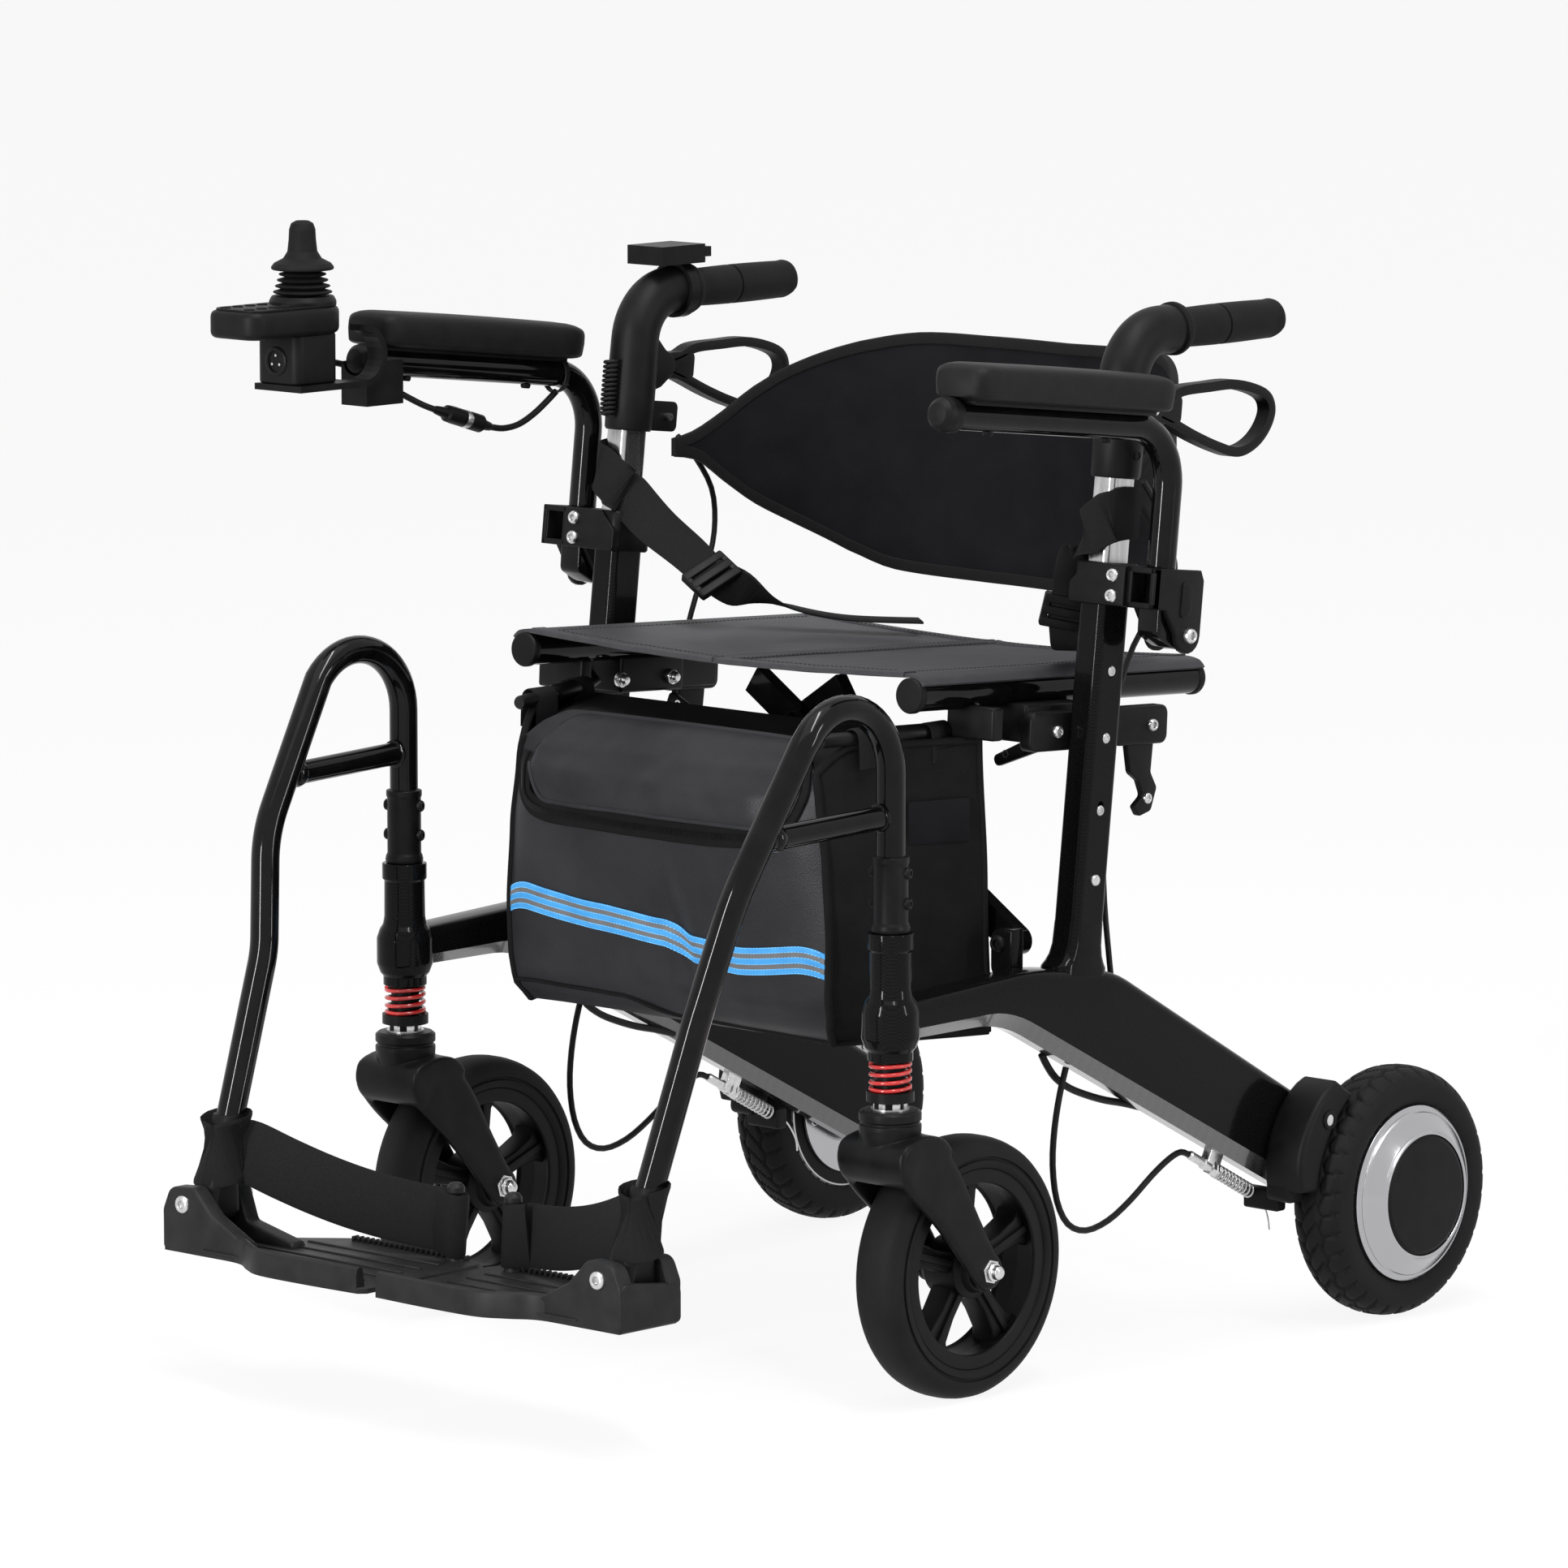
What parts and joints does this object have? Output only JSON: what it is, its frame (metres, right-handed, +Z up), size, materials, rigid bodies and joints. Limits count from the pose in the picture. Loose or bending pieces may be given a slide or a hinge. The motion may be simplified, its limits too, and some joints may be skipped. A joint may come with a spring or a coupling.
{
  "type": "rollator transport chair",
  "caption": "Folding powered rollator that serves as a transport chair: sling seat, back band, flip armrests, leg rests, joystick, hub motor wheels, sprung casters and hand brakes.",
  "frame": {"origin": "on the floor, at the middle of the bounding box", "axes": "+Z up, the sitter faces -Y, +X is the sitter's left"},
  "size_m": [0.668, 0.94, 0.865],
  "materials": {
    "carbon": "gloss woven carbon look",
    "black_plastic": "fine satin",
    "grey_plastic": "satin",
    "black_paint": "gloss",
    "tube_metal": "satin",
    "hub_metal": "polished ring, black cap",
    "steel": "bright",
    "red_spring": "gloss",
    "tyre_rubber": "matte",
    "grip_rubber": "matte",
    "pad_foam": "leather-grained foam skin",
    "cable_rubber": "satin",
    "webbing": "woven",
    "leatherette": "soft grained coated cloth"
  },
  "bodies": {
    "right_frame": {"right_side_frame": "carbon", "right_column": "carbon", "right_seat_rail": "black_plastic", "right_column_clamp": "black_plastic", "right_suspension_spring": "red_spring", "right_brake_spring": "steel", "right_brake_cable": "cable_rubber", "bag": "leatherette", "seat": "leatherette", "seat_belt": "webbing"},
    "right_handle": {"right_handle_tube": "tube_metal", "right_handle_housing": "black_plastic", "right_grip": "grip_rubber", "backrest": "leatherette", "attendant_box": "black_plastic", "curly_cord": "cable_rubber"},
    "attendant_lever": {"attendant_lever": "grey_plastic"},
    "right_armrest": {"right_armrest_tube": "black_paint", "right_armrest_pad": "pad_foam", "controller": "black_plastic", "controller_mount": "black_paint", "joystick_lead": "cable_rubber"},
    "joystick_gimbal": {"joystick_boot": "grip_rubber"},
    "joystick": {"joystick": "grip_rubber"},
    "left_frame": {"left_side_frame": "carbon", "left_column": "carbon", "left_seat_rail": "black_plastic", "left_column_clamp": "black_plastic", "left_suspension_spring": "red_spring", "left_brake_spring": "steel", "left_brake_cable": "cable_rubber"},
    "left_handle": {"left_handle_tube": "tube_metal", "left_handle_housing": "black_plastic", "left_grip": "grip_rubber"},
    "left_armrest": {"left_armrest_tube": "black_paint", "left_armrest_pad": "pad_foam"},
    "left_brace": {"left_brace": "black_paint"},
    "left_brake_lever": {"left_brake_lever": "black_plastic"},
    "left_brake_shoe": {"left_brake_shoe": "black_plastic"},
    "left_suspension": {"left_caster_stem": "black_paint"},
    "left_fork": {"left_caster_fork": "black_paint"},
    "left_caster_wheel": {"left_caster_tyre": "tyre_rubber", "left_caster_rim": "black_plastic"},
    "left_rear_wheel": {"left_rear_tyre": "tyre_rubber", "left_rear_hub": "hub_metal"},
    "left_leg_rest": {"left_leg_rest": "black_paint", "left_heel_strap": "webbing"},
    "left_footplate": {"left_footplate": "grey_plastic"},
    "right_brace": {"right_brace": "black_paint"},
    "right_brake_lever": {"right_brake_lever": "black_plastic"},
    "right_brake_shoe": {"right_brake_shoe": "black_plastic"},
    "right_suspension": {"right_caster_stem": "black_paint"},
    "right_fork": {"right_caster_fork": "black_paint"},
    "right_caster_wheel": {"right_caster_tyre": "tyre_rubber", "right_caster_rim": "black_plastic"},
    "right_rear_wheel": {"right_rear_tyre": "tyre_rubber", "right_rear_hub": "hub_metal"},
    "right_leg_rest": {"right_leg_rest": "black_paint", "right_heel_strap": "webbing"},
    "right_footplate": {"right_footplate": "grey_plastic"}
  },
  "joints": [
    {"name": "fold", "type": "hinge", "parent": "right_frame", "child": "right_brace", "pos_m": [-0.226, 0.01, 0.333], "axis": [0, -1, 0], "range_deg": [0, 35.5], "deforming": ["seat", "seat_belt", "backrest", "bag"]},
    {"name": "brace_cross", "type": "hinge", "parent": "right_brace", "child": "left_brace", "pos_m": [0, 0.01, 0.482], "axis": [0, -1, 0], "range_deg": [-72, 0]},
    {"name": "left_brace_foot", "type": "hinge", "parent": "left_brace", "child": "left_frame", "pos_m": [0.226, 0.01, 0.333], "axis": [0, -1, 0], "range_deg": [0, 36]},
    {"name": "right_handle_slide", "type": "slide", "parent": "right_frame", "child": "right_handle", "axis": [0, 0.116, 0.9933], "range_m": [0, 0.1]},
    {"name": "left_handle_slide", "type": "slide", "parent": "left_frame", "child": "left_handle", "axis": [0, 0.116, 0.9933], "range_m": [0, 0.1]},
    {"name": "left_armrest_flip", "type": "hinge", "parent": "left_frame", "child": "left_armrest", "pos_m": [0.302, 0.09376, 0.56548], "axis": [-1, 0, 0], "range_deg": [0, 90]},
    {"name": "left_brake_squeeze", "type": "hinge", "parent": "left_handle", "child": "left_brake_lever", "pos_m": [0.254, 0.11611, 0.731], "axis": [1, 0, 0], "range_deg": [0, 10], "stiffness_Nm_per_rad": 4, "springref_deg": -2.86, "deforming": ["left_brake_spring"]},
    {"name": "left_brake_shoe_swing", "type": "hinge", "parent": "left_frame", "child": "left_brake_shoe", "pos_m": [0.29, 0.283, 0.172], "axis": [1, 0, 0], "range_deg": [0, 2.6]},
    {"name": "left_suspension_slide", "type": "slide", "parent": "left_frame", "child": "left_suspension", "axis": [0, 0, 1], "range_m": [0, 0.01], "stiffness_N_per_m": 15000, "springref_m": -0.01, "deforming": ["left_suspension_spring"]},
    {"name": "left_caster_swivel", "type": "hinge", "parent": "left_suspension", "child": "left_fork", "pos_m": [0.254, -0.17, 0.215], "axis": [0, 0, 1], "continuous": true},
    {"name": "left_caster_spin", "type": "hinge", "parent": "left_fork", "child": "left_caster_wheel", "pos_m": [0.254, -0.093, 0.1], "axis": [1, 0, 0], "continuous": true},
    {"name": "left_rear_spin", "type": "hinge", "parent": "left_frame", "child": "left_rear_wheel", "pos_m": [0.296, 0.371, 0.099], "axis": [1, 0, 0], "continuous": true},
    {"name": "left_leg_rest_swing", "type": "hinge", "parent": "left_frame", "child": "left_leg_rest", "pos_m": [0.254, -0.17, 0.34], "axis": [0, 0, 1], "range_deg": [0, 41]},
    {"name": "left_footplate_flip", "type": "hinge", "parent": "left_leg_rest", "child": "left_footplate", "pos_m": [0.217, -0.4125, 0.136], "axis": [0, 1, 0], "range_deg": [0, 80], "deforming": ["left_heel_strap"]},
    {"name": "right_armrest_flip", "type": "hinge", "parent": "right_frame", "child": "right_armrest", "pos_m": [-0.302, 0.09376, 0.56548], "axis": [-1, 0, 0], "range_deg": [0, 90]},
    {"name": "right_brake_squeeze", "type": "hinge", "parent": "right_handle", "child": "right_brake_lever", "pos_m": [-0.254, 0.11611, 0.731], "axis": [1, 0, 0], "range_deg": [0, 10], "stiffness_Nm_per_rad": 4, "springref_deg": -2.86, "deforming": ["right_brake_spring"]},
    {"name": "right_brake_shoe_swing", "type": "hinge", "parent": "right_frame", "child": "right_brake_shoe", "pos_m": [-0.29, 0.283, 0.172], "axis": [1, 0, 0], "range_deg": [0, 2.6]},
    {"name": "right_suspension_slide", "type": "slide", "parent": "right_frame", "child": "right_suspension", "axis": [0, 0, 1], "range_m": [0, 0.01], "stiffness_N_per_m": 15000, "springref_m": -0.01, "deforming": ["right_suspension_spring"]},
    {"name": "right_caster_swivel", "type": "hinge", "parent": "right_suspension", "child": "right_fork", "pos_m": [-0.254, -0.17, 0.215], "axis": [0, 0, 1], "continuous": true},
    {"name": "right_caster_spin", "type": "hinge", "parent": "right_fork", "child": "right_caster_wheel", "pos_m": [-0.254, -0.093, 0.1], "axis": [1, 0, 0], "continuous": true},
    {"name": "right_rear_spin", "type": "hinge", "parent": "right_frame", "child": "right_rear_wheel", "pos_m": [-0.296, 0.371, 0.099], "axis": [1, 0, 0], "continuous": true},
    {"name": "right_leg_rest_swing", "type": "hinge", "parent": "right_frame", "child": "right_leg_rest", "pos_m": [-0.254, -0.17, 0.34], "axis": [0, 0, -1], "range_deg": [0, 41]},
    {"name": "right_footplate_flip", "type": "hinge", "parent": "right_leg_rest", "child": "right_footplate", "pos_m": [-0.217, -0.4125, 0.136], "axis": [0, -1, 0], "range_deg": [0, 80], "deforming": ["right_heel_strap"]},
    {"name": "joystick_fore_aft", "type": "hinge", "parent": "right_armrest", "child": "joystick_gimbal", "pos_m": [-0.3, -0.231, 0.795], "axis": [1, 0, 0], "range_deg": [-15, 15], "stiffness_Nm_per_rad": 0.3, "deforming": ["joystick_boot"]},
    {"name": "joystick_side", "type": "hinge", "parent": "joystick_gimbal", "child": "joystick", "pos_m": [-0.3, -0.231, 0.795], "axis": [0, 1, 0], "range_deg": [-15, 15], "stiffness_Nm_per_rad": 0.3, "deforming": ["joystick_boot"]},
    {"name": "attendant_turn", "type": "hinge", "parent": "right_handle", "child": "attendant_lever", "pos_m": [-0.254, 0.16, 0.816], "axis": [0, 0, 1], "range_deg": [-20, 20], "stiffness_Nm_per_rad": 0.05}
  ],
  "couplings": [
    {"joint": "brace_cross", "follows": "fold", "ratio": -2},
    {"joint": "left_brace_foot", "follows": "fold", "ratio": 1},
    {"joint": "left_handle_slide", "follows": "right_handle_slide", "ratio": 1},
    {"joint": "left_brake_shoe_swing", "follows": "left_brake_squeeze", "ratio": 0.25},
    {"joint": "left_leg_rest_swing", "follows": "fold", "ratio": 1.14},
    {"joint": "right_brake_shoe_swing", "follows": "right_brake_squeeze", "ratio": 0.25},
    {"joint": "right_leg_rest_swing", "follows": "fold", "ratio": 1.14}
  ]
}
